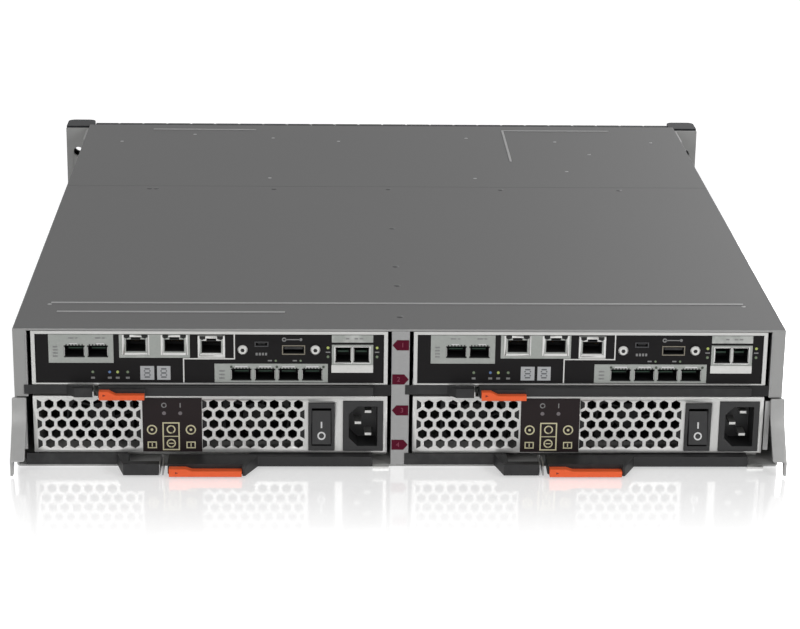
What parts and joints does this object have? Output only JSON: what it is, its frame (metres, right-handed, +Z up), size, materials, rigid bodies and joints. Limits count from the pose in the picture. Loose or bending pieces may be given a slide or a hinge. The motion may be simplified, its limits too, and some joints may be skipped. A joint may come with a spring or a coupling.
{
  "type": "storage array",
  "caption": "Two-unit rack storage array: drive modules in front, twin controller canisters over twin power canisters behind, each with a cam lever.",
  "frame": {"origin": "centre of the underside of the base", "axes": "+Z up, +Y towards the front with the drives, -Y towards the rear with the canisters"},
  "size_m": [0.4826, 0.5255, 0.0854],
  "materials": {
    "chassis_steel": "fine satin grey",
    "cover_steel": "fine satin mid grey",
    "bare_steel": "zinc-plated, satin",
    "ear_steel": "satin grey",
    "cap_plastic": "moulded, fine texture",
    "canister_steel": "plated, satin",
    "panel_black": "satin black film",
    "port_metal": "nickel-plated shells",
    "circuit_board": "solder mask",
    "moulding_black": "moulded",
    "lever_plastic": "moulded, fine texture",
    "latch_orange": "moulded, satin",
    "fan_plastic": "moulded",
    "drive_carrier": "dark moulded bezel on a metal carrier"
  },
  "bodies": {
    "chassis": {"chassis_shell": "chassis_steel", "rear_cover": "cover_steel", "front_cover": "cover_steel", "centre_divider": "chassis_steel", "bay_shelves": "chassis_steel", "midplane": "circuit_board", "drive_cage": "bare_steel", "rack_ears": "ear_steel", "ear_caps": "cap_plastic", "rear_lugs": "bare_steel"},
    "controller_left": {"controller_tray_left": "canister_steel", "controller_faceplate_left": "panel_black", "controller_ports_left": "port_metal", "controller_board_left": "circuit_board"},
    "power_left": {"power_case_left": "canister_steel", "power_inlet_left": "moulding_black"},
    "controller_lever_left": {"controller_lever_left": "lever_plastic"},
    "controller_latch_left": {"controller_latch_left": "latch_orange"},
    "power_lever_left": {"power_lever_left": "lever_plastic"},
    "power_latch_left": {"power_latch_left": "latch_orange"},
    "power_switch_left": {"power_switch_left": "moulding_black"},
    "fan_rotor_left_1": {"fan_rotor_left_1": "fan_plastic"},
    "fan_rotor_left_2": {"fan_rotor_left_2": "fan_plastic"},
    "controller_right": {"controller_tray_right": "canister_steel", "controller_faceplate_right": "panel_black", "controller_ports_right": "port_metal", "controller_board_right": "circuit_board"},
    "power_right": {"power_case_right": "canister_steel", "power_inlet_right": "moulding_black"},
    "controller_lever_right": {"controller_lever_right": "lever_plastic"},
    "controller_latch_right": {"controller_latch_right": "latch_orange"},
    "power_lever_right": {"power_lever_right": "lever_plastic"},
    "power_latch_right": {"power_latch_right": "latch_orange"},
    "power_switch_right": {"power_switch_right": "moulding_black"},
    "fan_rotor_right_1": {"fan_rotor_right_1": "fan_plastic"},
    "fan_rotor_right_2": {"fan_rotor_right_2": "fan_plastic"},
    "drive_01": {"drive_01": "drive_carrier"},
    "drive_02": {"drive_02": "drive_carrier"},
    "drive_03": {"drive_03": "drive_carrier"},
    "drive_04": {"drive_04": "drive_carrier"},
    "drive_05": {"drive_05": "drive_carrier"},
    "drive_06": {"drive_06": "drive_carrier"},
    "drive_07": {"drive_07": "drive_carrier"},
    "drive_08": {"drive_08": "drive_carrier"},
    "drive_09": {"drive_09": "drive_carrier"},
    "drive_10": {"drive_10": "drive_carrier"},
    "drive_11": {"drive_11": "drive_carrier"},
    "drive_12": {"drive_12": "drive_carrier"},
    "drive_13": {"drive_13": "drive_carrier"},
    "drive_14": {"drive_14": "drive_carrier"},
    "drive_15": {"drive_15": "drive_carrier"},
    "drive_16": {"drive_16": "drive_carrier"},
    "drive_17": {"drive_17": "drive_carrier"},
    "drive_18": {"drive_18": "drive_carrier"},
    "drive_19": {"drive_19": "drive_carrier"},
    "drive_20": {"drive_20": "drive_carrier"},
    "drive_21": {"drive_21": "drive_carrier"},
    "drive_22": {"drive_22": "drive_carrier"},
    "drive_23": {"drive_23": "drive_carrier"},
    "drive_24": {"drive_24": "drive_carrier"}
  },
  "joints": [
    {"name": "controller_left_slide", "type": "slide", "parent": "chassis", "child": "controller_left", "axis": [0, -1, 0], "range_m": [0, 0.32]},
    {"name": "power_left_slide", "type": "slide", "parent": "chassis", "child": "power_left", "axis": [0, -1, 0], "range_m": [0, 0.32]},
    {"name": "controller_lever_left_hinge", "type": "hinge", "parent": "controller_left", "child": "controller_lever_left", "pos_m": [-0.0223, -0.2375, 0.048], "axis": [0, 0, 1], "range_deg": [0, 75]},
    {"name": "controller_latch_left_slide", "type": "slide", "parent": "controller_lever_left", "child": "controller_latch_left", "axis": [-1, 0, 0], "range_m": [0, 0.003], "stiffness_N_per_m": 300},
    {"name": "power_lever_left_hinge", "type": "hinge", "parent": "power_left", "child": "power_lever_left", "pos_m": [-0.0223, -0.2375, 0.0052], "axis": [0, 0, 1], "range_deg": [0, 75]},
    {"name": "power_latch_left_slide", "type": "slide", "parent": "power_lever_left", "child": "power_latch_left", "axis": [-1, 0, 0], "range_m": [0, 0.003], "stiffness_N_per_m": 300},
    {"name": "power_switch_left_rock", "type": "hinge", "parent": "power_left", "child": "power_switch_left", "pos_m": [-0.04575, -0.238, 0.025], "axis": [1, 0, 0], "range_deg": [0, 12]},
    {"name": "fan_rotor_left_1_spin", "type": "hinge", "parent": "power_left", "child": "fan_rotor_left_1", "pos_m": [-0.1763, -0.21, 0.0221], "axis": [0, 1, 0], "continuous": true},
    {"name": "fan_rotor_left_2_spin", "type": "hinge", "parent": "power_left", "child": "fan_rotor_left_2", "pos_m": [-0.0843, -0.21, 0.0221], "axis": [0, 1, 0], "continuous": true},
    {"name": "controller_right_slide", "type": "slide", "parent": "chassis", "child": "controller_right", "axis": [0, -1, 0], "range_m": [0, 0.32]},
    {"name": "power_right_slide", "type": "slide", "parent": "chassis", "child": "power_right", "axis": [0, -1, 0], "range_m": [0, 0.32]},
    {"name": "controller_lever_right_hinge", "type": "hinge", "parent": "controller_right", "child": "controller_lever_right", "pos_m": [0.1983, -0.2375, 0.048], "axis": [0, 0, 1], "range_deg": [0, 75]},
    {"name": "controller_latch_right_slide", "type": "slide", "parent": "controller_lever_right", "child": "controller_latch_right", "axis": [-1, 0, 0], "range_m": [0, 0.003], "stiffness_N_per_m": 300},
    {"name": "power_lever_right_hinge", "type": "hinge", "parent": "power_right", "child": "power_lever_right", "pos_m": [0.1983, -0.2375, 0.0052], "axis": [0, 0, 1], "range_deg": [0, 75]},
    {"name": "power_latch_right_slide", "type": "slide", "parent": "power_lever_right", "child": "power_latch_right", "axis": [-1, 0, 0], "range_m": [0, 0.003], "stiffness_N_per_m": 300},
    {"name": "power_switch_right_rock", "type": "hinge", "parent": "power_right", "child": "power_switch_right", "pos_m": [0.17485, -0.238, 0.025], "axis": [1, 0, 0], "range_deg": [0, 12]},
    {"name": "fan_rotor_right_1_spin", "type": "hinge", "parent": "power_right", "child": "fan_rotor_right_1", "pos_m": [0.0443, -0.21, 0.0221], "axis": [0, 1, 0], "continuous": true},
    {"name": "fan_rotor_right_2_spin", "type": "hinge", "parent": "power_right", "child": "fan_rotor_right_2", "pos_m": [0.1363, -0.21, 0.0221], "axis": [0, 1, 0], "continuous": true},
    {"name": "drive_01_slide", "type": "slide", "parent": "chassis", "child": "drive_01", "axis": [0, 1, 0], "range_m": [0, 0.14]},
    {"name": "drive_02_slide", "type": "slide", "parent": "chassis", "child": "drive_02", "axis": [0, 1, 0], "range_m": [0, 0.14]},
    {"name": "drive_03_slide", "type": "slide", "parent": "chassis", "child": "drive_03", "axis": [0, 1, 0], "range_m": [0, 0.14]},
    {"name": "drive_04_slide", "type": "slide", "parent": "chassis", "child": "drive_04", "axis": [0, 1, 0], "range_m": [0, 0.14]},
    {"name": "drive_05_slide", "type": "slide", "parent": "chassis", "child": "drive_05", "axis": [0, 1, 0], "range_m": [0, 0.14]},
    {"name": "drive_06_slide", "type": "slide", "parent": "chassis", "child": "drive_06", "axis": [0, 1, 0], "range_m": [0, 0.14]},
    {"name": "drive_07_slide", "type": "slide", "parent": "chassis", "child": "drive_07", "axis": [0, 1, 0], "range_m": [0, 0.14]},
    {"name": "drive_08_slide", "type": "slide", "parent": "chassis", "child": "drive_08", "axis": [0, 1, 0], "range_m": [0, 0.14]},
    {"name": "drive_09_slide", "type": "slide", "parent": "chassis", "child": "drive_09", "axis": [0, 1, 0], "range_m": [0, 0.14]},
    {"name": "drive_10_slide", "type": "slide", "parent": "chassis", "child": "drive_10", "axis": [0, 1, 0], "range_m": [0, 0.14]},
    {"name": "drive_11_slide", "type": "slide", "parent": "chassis", "child": "drive_11", "axis": [0, 1, 0], "range_m": [0, 0.14]},
    {"name": "drive_12_slide", "type": "slide", "parent": "chassis", "child": "drive_12", "axis": [0, 1, 0], "range_m": [0, 0.14]},
    {"name": "drive_13_slide", "type": "slide", "parent": "chassis", "child": "drive_13", "axis": [0, 1, 0], "range_m": [0, 0.14]},
    {"name": "drive_14_slide", "type": "slide", "parent": "chassis", "child": "drive_14", "axis": [0, 1, 0], "range_m": [0, 0.14]},
    {"name": "drive_15_slide", "type": "slide", "parent": "chassis", "child": "drive_15", "axis": [0, 1, 0], "range_m": [0, 0.14]},
    {"name": "drive_16_slide", "type": "slide", "parent": "chassis", "child": "drive_16", "axis": [0, 1, 0], "range_m": [0, 0.14]},
    {"name": "drive_17_slide", "type": "slide", "parent": "chassis", "child": "drive_17", "axis": [0, 1, 0], "range_m": [0, 0.14]},
    {"name": "drive_18_slide", "type": "slide", "parent": "chassis", "child": "drive_18", "axis": [0, 1, 0], "range_m": [0, 0.14]},
    {"name": "drive_19_slide", "type": "slide", "parent": "chassis", "child": "drive_19", "axis": [0, 1, 0], "range_m": [0, 0.14]},
    {"name": "drive_20_slide", "type": "slide", "parent": "chassis", "child": "drive_20", "axis": [0, 1, 0], "range_m": [0, 0.14]},
    {"name": "drive_21_slide", "type": "slide", "parent": "chassis", "child": "drive_21", "axis": [0, 1, 0], "range_m": [0, 0.14]},
    {"name": "drive_22_slide", "type": "slide", "parent": "chassis", "child": "drive_22", "axis": [0, 1, 0], "range_m": [0, 0.14]},
    {"name": "drive_23_slide", "type": "slide", "parent": "chassis", "child": "drive_23", "axis": [0, 1, 0], "range_m": [0, 0.14]},
    {"name": "drive_24_slide", "type": "slide", "parent": "chassis", "child": "drive_24", "axis": [0, 1, 0], "range_m": [0, 0.14]}
  ]
}
